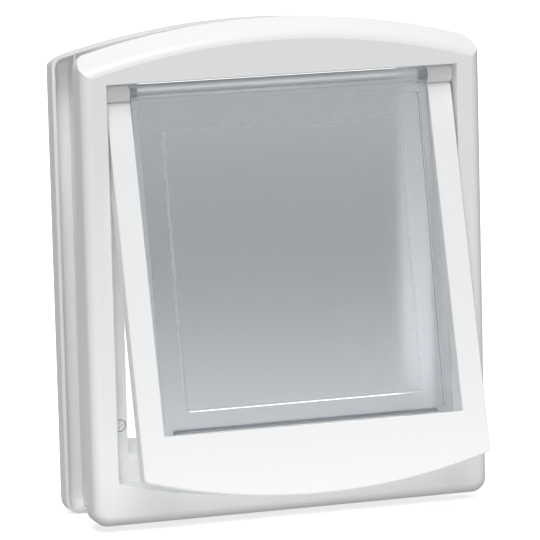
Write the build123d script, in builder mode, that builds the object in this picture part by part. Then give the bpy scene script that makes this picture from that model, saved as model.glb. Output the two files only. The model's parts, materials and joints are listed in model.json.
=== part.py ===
"""Two-way pet door: two white frames with a telescoping tunnel, a hinged cover and a clear flap.

Units are millimetres. X runs to the right, Y from the viewer to the back, Z up.
The inner frame's back rim lies on Y = 0 and its foot on Z = 0.
The outer frame has the same outline and sits a little lower on the tunnel.
The cover and the flap are drawn in the open position of the photograph.
"""
import math
import os

from build123d import *

# Both frames, seen from the front
frame_width = 294.0
frame_height = 349.2
arch_radius = 520.0
corner_radius = 10.5
face_round = 7.5
rim_land = 1.5
head_slope = 23.5
head_bend = 6.0
head_nose = 9.8
head_overrun = 0.2
hollow_bevel = 4.5
outer_drop = 4.2
wall = 2.4
edge_bevel = 0.7

# Depths along Y
inner_depth = 23.0
leaf_thickness = 52.5
outer_depth = 20.0

# Face of the inner frame round its opening, whose bowed foot slopes up to the back at its ends
jamb_face = 18.0
head_face = 38.8
foot_face = 13.2
front_bow_radius = 500.0
back_bow_radius = 456.0
opening_lip = 2.0
opening_corner = 2.0

# Hinge line shared by the cover and the flap, close under the opening's top
barrel_radius = 6.5
barrel_gap = 1.2
pin_radius = 2.5
pin_clearance = 0.06
pin_reach = 5.0
pin_end_gap = 0.6
pin_seat = 9.0
socket_wall = 2.6
socket_floor = 1.5

# Cover: a U with wide arms and a deep bowed foot that fills the opening when shut
cover_tilt = 14.4
cover_side_gap = 1.7
cover_barrel_gap = 0.4
cover_foot_gap = 1.1
cover_back_gap = 0.5
cover_front = 4.5
arm_width = 17.5
foot_band = 48.0
cover_bow_radius = 450.0
cover_corner = 3.5
cover_root = 14.0

# Flange behind the cover, set back beside the tunnel, and the tunnel that leaves it
flange_front = -1.0
flange_step = 1.5
step_below_sill = 3.2
step_slope = 2.4
passage_margin = 5.2
sill_height = 33.5
passage_corner = 1.0
inner_sleeve_length = 35.0
sleeve_overlap = 11.0
sleeve_gap = 0.5

# Flap: clear sheet with a barrel on top, a rim on three sides and a strip along its foot
flap_tilt = 10.5
flap_side_gap = 1.0
flap_end_gap = 0.7
flap_foot_gap = 1.4
sheet_half = 1.4
rim_half = 3.2
rim_width = 4.6
flap_corner = 1.6
knuckle_width = 6.0
barrel_waist = 5.7
root_height = 12.0
pad_side_margin = 21.8
pad_top_margin = 28.0
pad_foot_margin = 15.0
pad_corner = 3.6
pad_rise = 0.5
pad_slope = 45.0
notch_above_foot = 103.0
notch_height = 2.6
notch_depth = 1.6
tab_width = 11.6
foot_rim_width = 2.2
strip_height = 1.8
strip_half = 2.4
tongue_height = 1.4
tongue_half = 0.8

# Screws that draw the frames together, and what they pass through
screw_inset = 8.2
screw_above_sill = 20.8
screw_below_top = 51.2
screw_radius = 2.0
screw_hole_gap = 0.3
head_radius = 4.4
head_height = 2.4
head_bevel = 0.9
head_recess = 2.7
head_gap = 0.3
slot_width = 1.1
slot_length = 4.4
slot_depth = 0.9
inner_boss_radius = 6.2
inner_boss_height = 4.6
outer_boss_radius = 4.4
screw_bite = 16.0
guide_width = 9.0
guide_height = 1.5
guide_above_screw = 5.8
guide_below_screw = 7.8
pocket_width = 11.0
pocket_height = 18.6
pocket_depth = 1.2
pocket_inset = 5.7
pocket_above_screw = 22.8

# Stiffening ribs inside the outer frame
rib_inset = 17.5
rib_thickness = 1.5
rib_step = 2.0

# Places worked out from the sizes above
strip_front = flange_front + flange_step
flange_back = strip_front + wall
lip_back = opening_lip - inner_depth
rear_face = leaf_thickness + outer_depth
opening_half = frame_width / 2 - jamb_face
opening_top = frame_height - head_face
sill = foot_face + sill_height
cover_back = barrel_radius
hinge_y = flange_front - cover_back_gap - cover_back
hinge_z = opening_top - barrel_gap - barrel_radius
cover_half = opening_half - cover_side_gap
cover_drop = hinge_z - foot_face - cover_foot_gap
window_half = cover_half - arm_width
window_foot = cover_drop - foot_band
flap_half = window_half - flap_side_gap
flap_foot = window_foot - flap_foot_gap
barrel_end = window_half - flap_end_gap / 2
cover_barrel_start = window_half + flap_end_gap / 2
cover_barrel_end = opening_half - cover_barrel_gap
passage_half = window_half + passage_margin
sleeve_step = wall + sleeve_gap
outer_sleeve_front = inner_sleeve_length - sleeve_overlap
screw_x = opening_half - screw_inset
screw_low = sill + screw_above_sill
screw_high = opening_top - screw_below_top
screw_places = [(x, z) for x in (-screw_x, screw_x) for z in (screw_low, screw_high)]
head_seat = strip_front + head_recess
screw_tip = outer_sleeve_front + screw_bite
strip_top = flap_foot - strip_height
strip_length = 2 * (flap_half - tab_width)

inner_rim = Plane.XZ
outer_rim = Plane(origin=(0, leaf_thickness, -outer_drop), x_dir=(-1, 0, 0), z_dir=(0, 1, 0))


def at_depth(y):
    """Upright plane at depth y that faces the viewer."""
    return Plane.XZ.offset(-y)


def swung(angle):
    """Face plane of a leaf that hangs from the hinge line, its foot swung towards the viewer."""
    turn = math.radians(angle)
    return Plane(
        origin=(0, hinge_y, hinge_z),
        x_dir=(1, 0, 0),
        z_dir=(0, -math.cos(turn), math.sin(turn)),
    )


def bow_height(radius, half):
    """How far an arc of this radius swells over a chord of two halves."""
    return radius - math.sqrt(radius**2 - half**2)


def frame_outline(plane, inset):
    """Straight sides and foot, arched top, rounded corners."""
    half = frame_width / 2 - inset
    crown = frame_height - inset
    shoulder = crown - bow_height(arch_radius - inset, half)
    with BuildSketch(plane) as outline:
        with BuildLine():
            Polyline((-half, shoulder), (-half, inset), (half, inset), (half, shoulder))
            ThreePointArc((half, shoulder), (0, crown), (-half, shoulder))
        make_face()
        fillet(outline.vertices(), corner_radius - inset)
    return outline.sketch


def over_head(plane, inset, depth):
    """Ring above the head, which slopes from the rim's land and bends down to the face."""
    centre = plane.origin + Vector(0, 0, frame_height - arch_radius)
    fall = math.tan(math.radians(head_slope))
    beyond = arch_radius + frame_width
    land = (rim_land - inset, arch_radius - inset)
    bend = (depth - head_bend, arch_radius - inset - (depth + inset - head_bend - rim_land) * fall)
    nose = (depth + head_overrun, bend[1] - head_nose)
    with BuildPart() as ring:
        with BuildSketch(Plane(origin=centre, x_dir=plane.z_dir, z_dir=(-plane.z_dir.Y, 0, 0))):
            with BuildLine():
                slope = Line((land[0] - depth, land[1] + depth * fall), bend)
                if inset:
                    Line(bend, nose)
                else:
                    TangentArc(bend, nose, tangent=slope % 1)
                Polyline(nose, (2 * depth, nose[1]), (2 * depth, beyond), (land[0] - depth, beyond), slope @ 0)
            make_face()
        revolve(axis=Axis(centre, plane.z_dir))
    return ring.part


def domed_form(plane, inset, depth):
    """A frame's outside with a rounded face, or its plainer hollow with a bevelled one."""
    with BuildPart() as form:
        extrude(frame_outline(plane, inset), amount=depth)
        face = form.faces().sort_by(Axis(plane.origin, plane.z_dir))[-1]
        if inset:
            chamfer(face.edges(), hollow_bevel)
        else:
            fillet(face.edges(), face_round)
        add(over_head(plane, inset, depth), mode=Mode.SUBTRACT)
    return form.part


def opening_outline(plane, spread, bow_radius):
    """Opening in the inner frame's face: square top, bowed foot. Spread makes it larger."""
    half = opening_half + spread
    top = opening_top + spread
    foot = foot_face - spread
    corner = foot + bow_height(bow_radius, half)
    with BuildSketch(plane) as outline:
        with BuildLine():
            Polyline((-half, corner), (-half, top), (half, top), (half, corner))
            ThreePointArc((half, corner), (0, foot), (-half, corner))
        make_face()
        fillet(outline.vertices(), opening_corner + spread)
    return outline.sketch


def passage_outline(plane, spread):
    """Section of the tunnel. Spread makes it larger."""
    width = 2 * (passage_half + spread)
    height = opening_top - sill + 2 * spread
    with BuildSketch(plane) as outline:
        with Locations((0, (opening_top + sill) / 2)):
            RectangleRounded(width, height, passage_corner + spread)
    return outline.sketch


def discs(plane, places, radius):
    """Equal circles on a plane."""
    with BuildSketch(plane) as outline:
        with Locations(*places):
            Circle(radius)
    return outline.sketch


def hinge_disc(x, radius):
    """Circle round the hinge line at x."""
    with BuildSketch(Plane.YZ.offset(x)) as outline:
        with Locations((hinge_y, hinge_z)):
            Circle(radius)
    return outline.sketch


def beside_tunnel():
    """The step by which the flange is set back beside the tunnel, with a sloped lower end."""
    step_foot = sill - step_below_sill
    with BuildPart() as step:
        with BuildSketch(Plane.YZ):
            with BuildLine():
                Polyline((-inner_depth, step_foot), (flange_front, step_foot), (strip_front, step_foot + step_slope),
                         (strip_front, opening_top), (-inner_depth, opening_top), close=True)
            make_face()
        extrude(amount=opening_half, both=True)
    return step.part


def screw_guides():
    """Short bars above and below each screw, level with the flange's front."""
    with BuildSketch(at_depth(strip_front)) as outline:
        for x, z in screw_places:
            with Locations((x, z + guide_above_screw), (x, z - guide_below_screw)):
                Rectangle(guide_width, guide_height)
    return outline.sketch


def flange_pockets():
    """A shallow recess beside the opening's wall above each lower screw."""
    pocket_x = opening_half - pocket_inset
    pocket_z = screw_low + pocket_above_screw
    with BuildSketch(at_depth(strip_front)) as outline:
        with Locations((-pocket_x, pocket_z), (pocket_x, pocket_z)):
            Rectangle(pocket_width, pocket_height)
    return outline.sketch


# Inner frame: rounded shell, deep opening, flange with screw guides, tunnel sleeve, pin sockets
with BuildPart() as inner_frame:
    add(domed_form(inner_rim, 0, inner_depth))
    add(domed_form(inner_rim, wall, inner_depth - wall), mode=Mode.SUBTRACT)
    extrude(opening_outline(at_depth(flange_back), wall, front_bow_radius),
            amount=flange_back + inner_depth - wall / 2)
    loft([opening_outline(at_depth(flange_front), 0, back_bow_radius),
          opening_outline(at_depth(lip_back), 0, front_bow_radius)], ruled=True, mode=Mode.SUBTRACT)
    extrude(opening_outline(at_depth(lip_back), 0, front_bow_radius), amount=inner_depth, mode=Mode.SUBTRACT)
    add(beside_tunnel(), mode=Mode.SUBTRACT)
    extrude(screw_guides(), amount=flange_step)
    extrude(passage_outline(at_depth(inner_sleeve_length), wall), amount=inner_sleeve_length - strip_front)
    extrude(discs(at_depth(strip_front), screw_places, inner_boss_radius), amount=-wall - inner_boss_height)
    for side in (-1, 1):
        socket_radius = pin_radius + socket_wall
        socket_length = pin_seat + socket_floor
        extrude(hinge_disc(side * opening_half, socket_radius), amount=side * socket_length)
        extrude(hinge_disc(side * opening_half, pin_radius), amount=side * pin_seat, mode=Mode.SUBTRACT)
    extrude(passage_outline(at_depth(inner_sleeve_length), 0), amount=2 * inner_sleeve_length, mode=Mode.SUBTRACT)
    extrude(flange_pockets(), amount=-pocket_depth, mode=Mode.SUBTRACT)
    extrude(discs(at_depth(strip_front), screw_places, head_radius + head_gap), amount=-head_recess,
            mode=Mode.SUBTRACT)
    extrude(discs(at_depth(head_seat), screw_places, screw_radius + screw_hole_gap), amount=-leaf_thickness,
            mode=Mode.SUBTRACT)
    inner_face = inner_frame.faces().sort_by(Axis.Y)[0]
    chamfer(inner_face.inner_wires()[0].edges(), edge_bevel)


def rib_pair():
    """Upright ribs that stiffen the outer frame, set back a step from its rim."""
    rib_x = frame_width / 2 - rib_inset
    with BuildPart() as ribs:
        add(domed_form(outer_rim, wall / 2, outer_depth - wall / 2))
        with BuildSketch(at_depth(leaf_thickness + rib_step)):
            with Locations((-rib_x, frame_height / 2), (rib_x, frame_height / 2)):
                Rectangle(rib_thickness, frame_height)
        extrude(amount=-outer_depth, mode=Mode.INTERSECT)
    return ribs.part


# Outer frame: the same shell turned round, a sleeve that slides over the other, blind screw bosses
with BuildPart() as outer_frame:
    skin_middle = rear_face - wall / 2
    add(domed_form(outer_rim, 0, outer_depth))
    add(domed_form(outer_rim, wall, outer_depth - wall), mode=Mode.SUBTRACT)
    extrude(passage_outline(at_depth(skin_middle), sleeve_step + wall), amount=skin_middle - outer_sleeve_front)
    extrude(discs(at_depth(skin_middle), screw_places, outer_boss_radius), amount=skin_middle - outer_sleeve_front)
    add(rib_pair())
    extrude(passage_outline(at_depth(2 * rear_face), sleeve_step), amount=2 * rear_face, mode=Mode.SUBTRACT)
    extrude(discs(at_depth(outer_sleeve_front), screw_places, screw_radius), amount=-screw_bite, mode=Mode.SUBTRACT)
    outer_face = outer_frame.faces().sort_by(Axis.Y)[-1]
    chamfer(outer_face.inner_wires()[0].edges(), edge_bevel)


def cover_outline(plane, inset, top):
    """The cover's U below the hinge line, up to the height top."""
    half = cover_half - inset
    foot = inset - cover_drop
    corner = foot + bow_height(cover_bow_radius, half)
    gap_half = window_half + inset
    gap_foot = -window_foot - inset
    with BuildSketch(plane) as outline:
        with BuildLine():
            Polyline((half, corner), (half, top), (gap_half, top), (gap_half, gap_foot), (-gap_half, gap_foot),
                     (-gap_half, top), (-half, top), (-half, corner))
            ThreePointArc((-half, corner), (0, foot), (half, corner))
        make_face()
        fillet(outline.vertices().group_by(Axis.Y)[0], cover_corner)
    return outline.sketch


# Cover: shell open to the back, with a barrel on each arm
cover_plane = swung(cover_tilt)
with BuildPart() as cover_frame:
    extrude(cover_outline(cover_plane.offset(-cover_back), 0, 0), amount=cover_back + cover_front)
    cover_face = cover_frame.faces().sort_by(Axis(cover_plane.origin, cover_plane.z_dir))[-1]
    chamfer(cover_face.edges(), edge_bevel)
    extrude(cover_outline(cover_plane.offset(-cover_back), wall, -cover_root),
            amount=cover_back + cover_front - wall, mode=Mode.SUBTRACT)
    for side in (-1, 1):
        barrel_length = cover_barrel_end - cover_barrel_start
        extrude(hinge_disc(side * cover_barrel_start, barrel_radius), amount=side * barrel_length)
    for side in (-1, 1):
        extrude(hinge_disc(side * window_half, pin_radius + pin_clearance), amount=side * cover_half,
                mode=Mode.SUBTRACT)


def flap_rect(plane, half, top, foot, corner):
    """Rounded rectangle on the flap between two distances below the hinge line."""
    with BuildSketch(plane) as outline:
        with Locations((0, -(top + foot) / 2)):
            RectangleRounded(2 * half, foot - top, corner)
    return outline.sketch


# Flap: sheet, rim, raised pad, thick root and a waisted barrel, with a groove for the strip
flap_plane = swung(flap_tilt)
with BuildPart() as flap_panel:
    extrude(flap_rect(flap_plane, flap_half, 0, flap_foot, flap_corner), amount=rim_half, both=True)
    for facing in (-1, 1):
        extrude(flap_rect(flap_plane.offset(facing * sheet_half), flap_half - rim_width, root_height,
                          strip_top - foot_rim_width, flap_corner),
                amount=facing * rim_half, mode=Mode.SUBTRACT)
    extrude(flap_rect(flap_plane.offset(sheet_half), flap_half - pad_side_margin, pad_top_margin,
                      flap_foot - pad_foot_margin, pad_corner),
            amount=pad_rise, taper=pad_slope)
    extrude(hinge_disc(-barrel_end, barrel_radius), amount=knuckle_width)
    extrude(hinge_disc(barrel_end, barrel_radius), amount=-knuckle_width)
    extrude(hinge_disc(-barrel_end, barrel_waist), amount=2 * barrel_end)
    for side in (-1, 1):
        extrude(hinge_disc(side * barrel_end, pin_radius + pin_clearance),
                amount=-side * (pin_reach + pin_end_gap), mode=Mode.SUBTRACT)
    with BuildSketch(flap_plane):
        notch_z = notch_above_foot - flap_foot
        with Locations((-flap_half, notch_z), (flap_half, notch_z)):
            Rectangle(2 * notch_depth, notch_height)
        with Locations((0, -flap_foot)):
            Rectangle(strip_length, 2 * strip_height)
    extrude(amount=2 * rim_half, both=True, mode=Mode.SUBTRACT)
    with BuildSketch(flap_plane):
        with Locations((0, -strip_top)):
            Rectangle(strip_length, 2 * tongue_height)
    extrude(amount=tongue_half, both=True, mode=Mode.SUBTRACT)

# Weather strip pushed into the groove along the flap's foot
with BuildPart() as flap_strip:
    with BuildSketch(flap_plane):
        with Locations((0, -(strip_top + flap_foot) / 2)):
            Rectangle(strip_length, strip_height)
    extrude(amount=strip_half, both=True)
    with BuildSketch(flap_plane):
        with Locations((0, tongue_height / 2 - strip_top)):
            Rectangle(strip_length, tongue_height)
    extrude(amount=tongue_half, both=True)


def hinge_pin(side):
    """Stub pin seated in the inner frame's side wall and reaching into the flap's barrel."""
    inner_end = barrel_end - pin_reach
    outer_end = opening_half + pin_seat
    with BuildPart() as pin:
        extrude(hinge_disc(side * inner_end, pin_radius), amount=side * (outer_end - inner_end))
    return pin


hinge_pin_left = hinge_pin(-1)
hinge_pin_right = hinge_pin(1)

# Screws: pan heads below the flange, shanks cut into the outer frame's bosses
with BuildPart() as frame_screws:
    extrude(discs(at_depth(head_seat), screw_places, head_radius), amount=head_height)
    chamfer(frame_screws.edges().group_by(Axis.Y)[0], head_bevel)
    extrude(discs(at_depth(head_seat), screw_places, screw_radius), amount=head_seat - screw_tip)
    with BuildSketch(at_depth(head_seat - head_height)):
        with Locations(*screw_places):
            Rectangle(slot_length, slot_width)
            Rectangle(slot_width, slot_length)
    extrude(amount=-slot_depth, mode=Mode.SUBTRACT)

sub_parts = {
    "inner_frame": inner_frame,
    "outer_frame": outer_frame,
    "cover_frame": cover_frame,
    "flap_panel": flap_panel,
    "flap_strip": flap_strip,
    "hinge_pin_left": hinge_pin_left,
    "hinge_pin_right": hinge_pin_right,
    "frame_screws": frame_screws,
}
os.makedirs("parts", exist_ok=True)
for label, sub_part in sub_parts.items():
    sub_part.part.label = label
    export_step(sub_part.part, f"parts/{label}.step")
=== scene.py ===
"""Looks of a two-way pet door: satin white mouldings, a smoky clear flap and a grey weather strip."""
import json
import math

import bpy
from mathutils import Euler, Matrix, Vector


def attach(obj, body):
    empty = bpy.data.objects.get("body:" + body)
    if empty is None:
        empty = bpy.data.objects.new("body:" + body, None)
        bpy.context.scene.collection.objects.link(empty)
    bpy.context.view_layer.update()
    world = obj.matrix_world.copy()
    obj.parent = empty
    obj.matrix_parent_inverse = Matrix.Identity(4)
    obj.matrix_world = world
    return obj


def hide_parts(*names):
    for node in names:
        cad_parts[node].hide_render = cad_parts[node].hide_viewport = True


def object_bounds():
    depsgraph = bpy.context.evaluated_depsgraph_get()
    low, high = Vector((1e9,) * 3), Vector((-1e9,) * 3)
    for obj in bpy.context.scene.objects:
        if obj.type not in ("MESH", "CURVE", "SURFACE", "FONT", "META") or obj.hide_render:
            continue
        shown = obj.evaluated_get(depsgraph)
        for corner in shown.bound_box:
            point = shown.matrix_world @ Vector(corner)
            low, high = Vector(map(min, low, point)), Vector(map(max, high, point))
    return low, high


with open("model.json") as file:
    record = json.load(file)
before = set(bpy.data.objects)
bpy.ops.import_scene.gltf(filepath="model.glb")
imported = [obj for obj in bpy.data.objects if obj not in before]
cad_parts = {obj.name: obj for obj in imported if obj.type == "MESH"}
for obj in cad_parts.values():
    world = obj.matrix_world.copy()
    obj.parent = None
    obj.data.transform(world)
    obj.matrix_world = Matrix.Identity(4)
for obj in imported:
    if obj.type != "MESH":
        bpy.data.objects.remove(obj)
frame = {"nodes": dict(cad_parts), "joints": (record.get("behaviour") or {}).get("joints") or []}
cad_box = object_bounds()
nodes = frame["nodes"]
joints = {joint["name"]: joint for joint in frame["joints"]}

# Hinge line in metres, the cover's lean from shut, and the flap's from the middle of its travel
HINGE_Y, HINGE_Z = joints["flap_swing"]["pos_m"][1:]
COVER_TILT = math.radians(-joints["cover_swing"]["range_deg"][0])
FLAP_TILT = math.radians(-sum(joints["flap_swing"]["range_deg"]) / 2)

# Flap, in metres: the middle of its raised pad's sloped edge, and the bands where its polish changes
PAD_HALF, PAD_TOP, PAD_FOOT = 0.08745, 0.02825, 0.22255
PAD_EDGE_BAND = (0.0003, 0.0007)
BARREL_BAND = (0.0065, 0.0095)
RIM_BAND = (0.1040, 0.1052)

# Cover, in metres: its barrel and the front of its arms, as in the CAD, and the shoulder under the barrel
BARREL_RADIUS, ARM_FRONT = 0.0065, 0.0045
SHOULDER_RADIUS, SHOULDER_FOOT = 0.0060, 0.0120

# Bars that cut the shoulder, in metres: longer than the cover is wide, and a skin clear of its faces
CREASE_SIDE, CREASE_LENGTH = 0.0080, 0.30
ROUND_LENGTH, ROUND_SIDES = 0.31, 128
SKIN = 0.00005
SAME_POINT = 1e-6
SMOOTH_BELOW = math.radians(30.0)

FLOOR_SIZE, FLOOR_Z = 60.0, cad_box[0][2]

# Grey of the backdrop at each place, which is one plus the upward part of the direction looked in
BACKDROP = (
    (0.30, 0.27), (0.60, 0.55), (0.79, 1.0), (0.812, 1.0), (0.826, 0.42), (0.838, 0.02),
    (0.860, 0.01), (0.872, 0.26), (0.888, 0.74), (0.93, 0.62), (0.97, 0.28),
)
AMBIENT = 0.27
LIGHT_TINT = (0.965, 0.985, 1.0)

# Softboxes: name, energy, then spread, rise and azimuth in degrees, and whether reflections show it
SOFTBOXES = (
    ("high_softbox", 2.1, 30.0, 63.0, -19.0, True),
    ("front_fill", 0.66, 15.0, 6.0, -19.0, False),
    ("rear_softbox", 1.1, 40.0, 30.0, 158.0, False),
)

# Glowing panels under the front and inside the tunnel: name, energy, width, depth, place and turn
UPWARDS, RIGHTWARDS = (math.pi, 0, 0), (math.pi / 2, 0, -math.pi / 2)
PANELS = (
    ("reflector", 0.24, 0.6, 0.2, (-0.05, -0.17, -0.002), UPWARDS),
    ("bench_glow", 0.012, 0.30, 0.06, (0.0, -0.06, -0.003), UPWARDS),
    ("tunnel_floor_glow", 0.105, 0.12, 0.05, (0.0, 0.04, 0.055), UPWARDS),
    ("tunnel_side_glow", 0.08, 0.05, 0.14, (-0.108, 0.037, 0.16), RIGHTWARDS),
)


# Shader helper

class Shade:
    """A socket of a node tree that takes part in Python expressions."""

    def __init__(self, tree, socket=None):
        self.tree = tree
        self.socket = socket

    def node(self, kind, settings=None, inputs=None, output=0):
        """Adds a node: its settings first, then the values or links of its sockets."""
        made = self.tree.nodes.new(kind)
        for name, value in (settings or {}).items():
            if name == "stops":
                ramp = made.color_ramp.elements
                while len(ramp) < len(value):
                    ramp.new(1.0)
                for stop, (place, tone) in zip(ramp, value):
                    stop.position = place
                    stop.color = (*tone, 1.0)
            else:
                setattr(made, name, value)
        for name, value in (inputs or {}).items():
            if isinstance(value, Shade):
                self.tree.links.new(value.socket, made.inputs[name])
            else:
                made.inputs[name].default_value = value
        return Shade(self.tree, made.outputs[output])

    def math(self, operation, *values):
        return self.node("ShaderNodeMath", {"operation": operation}, dict(enumerate(values)))

    def __add__(self, other):
        return self.math("ADD", self, other)

    def __sub__(self, other):
        return self.math("SUBTRACT", self, other)

    def __rsub__(self, other):
        return self.math("SUBTRACT", other, self)

    def __mul__(self, other):
        return self.math("MULTIPLY", self, other)

    __radd__ = __add__
    __rmul__ = __mul__

    def place(self):
        return self.node("ShaderNodeTexCoord", output="Object")

    def part(self, vector, axis):
        return self.node("ShaderNodeSeparateXYZ", None, {"Vector": vector}, output=axis)

    def noise(self, where, scale, detail=2.0):
        return self.node("ShaderNodeTexNoise", None, {"Vector": where, "Scale": scale, "Detail": detail})

    def between(self, factor, low, high):
        """The colour that goes from low to high as factor goes from 0 to 1."""
        return self.node("ShaderNodeMix", {"data_type": "RGBA"},
                         {"Factor": factor, "A": (*low, 1.0), "B": (*high, 1.0)}, output="Result")

    def ramp(self, value, source, target):
        """Value carried smoothly from the source range to the target range."""
        return self.node("ShaderNodeMapRange", {"interpolation_type": "SMOOTHSTEP"},
                         {"Value": value, "From Min": source[0], "From Max": source[1],
                          "To Min": target[0], "To Max": target[1]})

    def bump(self, height, strength, distance):
        return self.node("ShaderNodeBump", None,
                         {"Height": height, "Strength": strength, "Distance": distance})


def finish_named(name, build):
    """A material whose surface shader gets the sockets that build gives."""
    material = bpy.data.materials.new(name)
    material.use_nodes = True
    tree = material.node_tree
    surface = next(n for n in tree.nodes if n.type == "BSDF_PRINCIPLED")
    for socket, value in build(Shade(tree)).items():
        if isinstance(value, Shade):
            tree.links.new(value.socket, surface.inputs[socket])
        else:
            surface.inputs[socket].default_value = value
    return material


# Finishes

def satin_white(shade):
    """White moulding with a fine grain and a slightly uneven polish."""
    where = shade.place()
    flow = shade.noise(where, scale=9.0, detail=3.0)
    grain = shade.noise(where, scale=1900.0)
    return {
        "Base Color": shade.between(flow, low=(0.895, 0.90, 0.905), high=(0.91, 0.91, 0.91)),
        "Roughness": 0.30 + 0.14 * shade.noise(where, scale=60.0, detail=3.0),
        "Normal": shade.bump(grain, strength=0.05, distance=0.0002),
        "IOR": 1.49,
    }


def smoky_clear(shade):
    """Clear moulding, less polished on its barrel, its side rims and the edge of its raised pad."""
    where = shade.place()
    flow = shade.noise(where, scale=12.0)
    x, y, z = (shade.part(where, axis) for axis in "XYZ")
    aside = shade.math("ABSOLUTE", x)
    down = (HINGE_Z - z) * math.cos(FLAP_TILT) + (HINGE_Y - y) * math.sin(FLAP_TILT)
    beside = aside - PAD_HALF
    beyond = shade.math("ABSOLUTE", down - (PAD_TOP + PAD_FOOT) / 2) - (PAD_FOOT - PAD_TOP) / 2
    from_edge = shade.math("ABSOLUTE", shade.math("MAXIMUM", beside, beyond))
    matt_edge = shade.ramp(from_edge, PAD_EDGE_BAND, (0.08, 0.0))
    matt_barrel = shade.ramp(down, BARREL_BAND, (0.14, 0.0))
    matt_rim = shade.ramp(aside, RIM_BAND, (0.0, 0.08))
    polish = 0.22 + 0.02 * shade.noise(where, scale=90.0)
    return {
        "Base Color": shade.between(flow, low=(0.85, 0.885, 0.92), high=(0.87, 0.90, 0.93)),
        "Roughness": polish + (matt_edge + matt_barrel + matt_rim),
        "Transmission Weight": 0.95,
        "IOR": 1.45,
    }


def grey_strip(shade):
    """Soft strip with a dull speckled face."""
    grain = shade.noise(shade.place(), scale=900.0, detail=3.0)
    return {
        "Base Color": shade.between(grain, low=(0.40, 0.42, 0.44), high=(0.46, 0.48, 0.50)),
        "Roughness": 0.55 + 0.2 * grain,
        "Normal": shade.bump(grain, strength=0.2, distance=0.0003),
    }


def floor_white(shade):
    mottle = shade.noise(shade.place(), scale=1.5)
    return {
        "Base Color": shade.between(mottle, low=(0.93, 0.93, 0.93), high=(0.95, 0.95, 0.95)),
        "Roughness": 0.9,
        "Specular IOR Level": 0.1,
        "Emission Color": (1.0, 1.0, 1.0, 1.0),
        "Emission Strength": 0.55,
    }


def finish_nodes():
    finishes = {
        "inner_frame": finish_named("satin_white_inner", satin_white),
        "outer_frame": finish_named("satin_white_outer", satin_white),
        "cover_frame": finish_named("satin_white_cover", satin_white),
        "flap_panel": finish_named("smoky_clear_flap", smoky_clear),
        "flap_strip": finish_named("grey_weather_strip", grey_strip),
        "frame_screws": finish_named("white_lacquer_screws", satin_white),
    }
    pin_white = finish_named("satin_white_pins", satin_white)
    for name, node in nodes.items():
        for slot in node.material_slots:
            slot.material = finishes.get(name, pin_white)


# Cover with its shoulders

def on_cover(out, down):
    """Point by its distances from the hinge line, out from the leaning cover and down along it."""
    return (0.0, HINGE_Y - out * math.cos(COVER_TILT) - down * math.sin(COVER_TILT),
            HINGE_Z + out * math.sin(COVER_TILT) - down * math.cos(COVER_TILT))


def round_bar(radius, out, down):
    """Cutting bar that runs beside the hinge line."""
    bpy.ops.object.select_all(action="DESELECT")
    bpy.ops.mesh.primitive_cylinder_add(vertices=ROUND_SIDES, radius=radius, depth=ROUND_LENGTH,
                                        location=on_cover(out, down), rotation=(0, math.pi / 2, 0))
    return bpy.context.object


def square_bar(side, out, down):
    """Cutting bar that runs beside the hinge line and leans with the cover."""
    bpy.ops.object.select_all(action="DESELECT")
    bpy.ops.mesh.primitive_cube_add(size=1.0, location=on_cover(out, down), rotation=(-COVER_TILT, 0, 0),
                                    scale=(CREASE_LENGTH, side, side))
    return bpy.context.object


def cut_away(piece, tool):
    """Takes the tool's volume out of the piece, and the tool out of the scene."""
    cut = piece.modifiers.new("cut", "BOOLEAN")
    cut.operation = "DIFFERENCE"
    cut.solver = "EXACT"
    cut.object = tool
    bpy.context.view_layer.objects.active = piece
    bpy.ops.object.modifier_apply(modifier=cut.name)
    bpy.data.objects.remove(tool)


def shouldered_cover():
    """The cover with a rounded shoulder across each arm, which sets the barrel off from the arm below it."""
    bpy.ops.object.select_all(action="DESELECT")
    cover = bpy.data.objects.new("cover_moulding", nodes["cover_frame"].data.copy())
    bpy.context.scene.collection.objects.link(cover)
    cover.select_set(True)
    bpy.context.view_layer.objects.active = cover
    bpy.ops.mesh.customdata_custom_splitnormals_clear()
    bpy.ops.object.mode_set(mode="EDIT")
    bpy.ops.mesh.select_all(action="SELECT")
    bpy.ops.mesh.remove_doubles(threshold=SAME_POINT)
    bpy.ops.object.mode_set(mode="OBJECT")
    crease = square_bar(CREASE_SIDE, CREASE_SIDE / 2, SHOULDER_FOOT - CREASE_SIDE / 2)
    cut_away(crease, round_bar(BARREL_RADIUS + SKIN, 0.0, 0.0))
    cut_away(crease, round_bar(SHOULDER_RADIUS, ARM_FRONT + SKIN - SHOULDER_RADIUS, SHOULDER_FOOT))
    cut_away(cover, crease)
    bpy.ops.object.select_all(action="DESELECT")
    cover.select_set(True)
    bpy.ops.object.shade_smooth_by_angle(angle=SMOOTH_BELOW)
    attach(cover, "cover")
    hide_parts("cover_frame")


# Floor, light and camera

def pale_floor():
    """Floor that only the camera sees: it neither blocks light nor returns it to the part."""
    bpy.ops.object.select_all(action="DESELECT")
    bpy.ops.mesh.primitive_plane_add(size=FLOOR_SIZE, location=(0, 0, FLOOR_Z))
    floor = bpy.context.object
    floor.name = "floor"
    floor.data.materials.append(finish_named("pale_floor", floor_white))
    floor.visible_diffuse = floor.visible_glossy = False
    floor.visible_transmission = floor.visible_shadow = False


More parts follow.
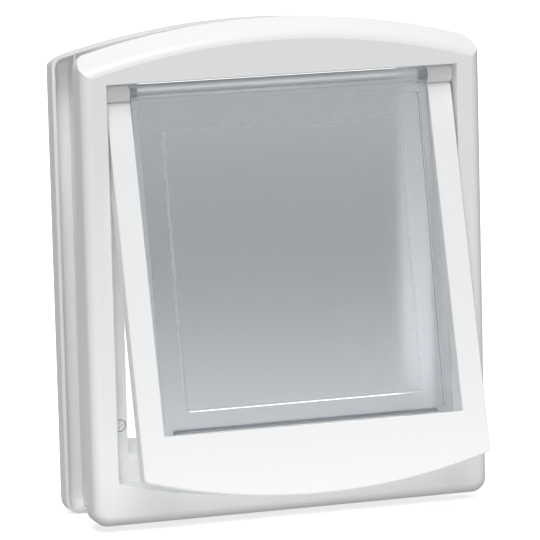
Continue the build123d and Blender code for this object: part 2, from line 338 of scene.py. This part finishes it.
def room_light():
    """Even ambient light, and a graded grey backdrop behind the door."""
    world = bpy.data.worlds.new("studio")
    bpy.context.scene.world = world
    world.use_nodes = True
    tree = world.node_tree
    shade = Shade(tree)
    way = shade.node("ShaderNodeTexCoord", output="Generated")
    behind = shade.ramp(shade.part(way, "Y"), (0.0, 0.5), (0.0, 1.0))
    stops = [(place, (grey, grey, grey)) for place, grey in BACKDROP]
    backdrop = shade.node("ShaderNodeValToRGB", {"stops": stops}, {"Fac": shade.part(way, "Z") + 1.0})
    glow = shade.node("ShaderNodeMix", {"data_type": "FLOAT"},
                      {"Factor": behind, "A": AMBIENT, "B": backdrop})
    sky = shade.between(glow, low=(0.0, 0.0, 0.0), high=LIGHT_TINT)
    background = next(n for n in tree.nodes if n.type == "BACKGROUND")
    tree.links.new(sky.socket, background.inputs["Color"])


def studio_lamps():
    """Three distant softboxes, and four panels that the camera and reflections don't show."""
    for name, energy, spread, rise, azimuth, sheen in SOFTBOXES:
        lamp = bpy.data.lights.new(name, "SUN")
        lamp.energy = energy
        lamp.angle = math.radians(spread)
        holder = bpy.data.objects.new(name, lamp)
        holder.rotation_euler = (math.radians(90.0 - rise), 0, math.radians(azimuth))
        holder.visible_glossy = sheen
        bpy.context.scene.collection.objects.link(holder)

    for name, energy, wide, deep, place, turn in PANELS:
        panel = bpy.data.lights.new(name, "AREA")
        panel.shape = "RECTANGLE"
        panel.size, panel.size_y = wide, deep
        panel.energy = energy
        holder = bpy.data.objects.new(name, panel)
        holder.location, holder.rotation_euler = place, turn
        holder.visible_camera = holder.visible_glossy = holder.visible_transmission = False
        bpy.context.scene.collection.objects.link(holder)


def photo_camera():
    azimuth, elevation, roll = math.radians(-18.47), math.radians(8.8), math.radians(1.5)
    distance, focal_mm, sensor_mm, far_limit = 3.023, 284.9, 36.0, 200.0
    aim = Vector((0, 0, 0.1732))
    right_of_aim, above_aim = -0.00619, -0.00377
    turn = Euler((math.pi / 2 - elevation, 0, azimuth)).to_matrix() @ Matrix.Rotation(-roll, 3, "Z")
    camera = bpy.data.cameras.new("camera")
    camera.lens = focal_mm
    camera.sensor_width = sensor_mm
    camera.clip_end = far_limit
    holder = bpy.data.objects.new("camera", camera)
    holder.rotation_euler = turn.to_euler()
    holder.location = aim + turn @ Vector((right_of_aim, above_aim, distance))
    bpy.context.scene.collection.objects.link(holder)
    bpy.context.scene.camera = holder


finish_nodes()
shouldered_cover()
pale_floor()
room_light()
studio_lamps()
photo_camera()
bpy.context.scene.view_settings.view_transform = "Standard"
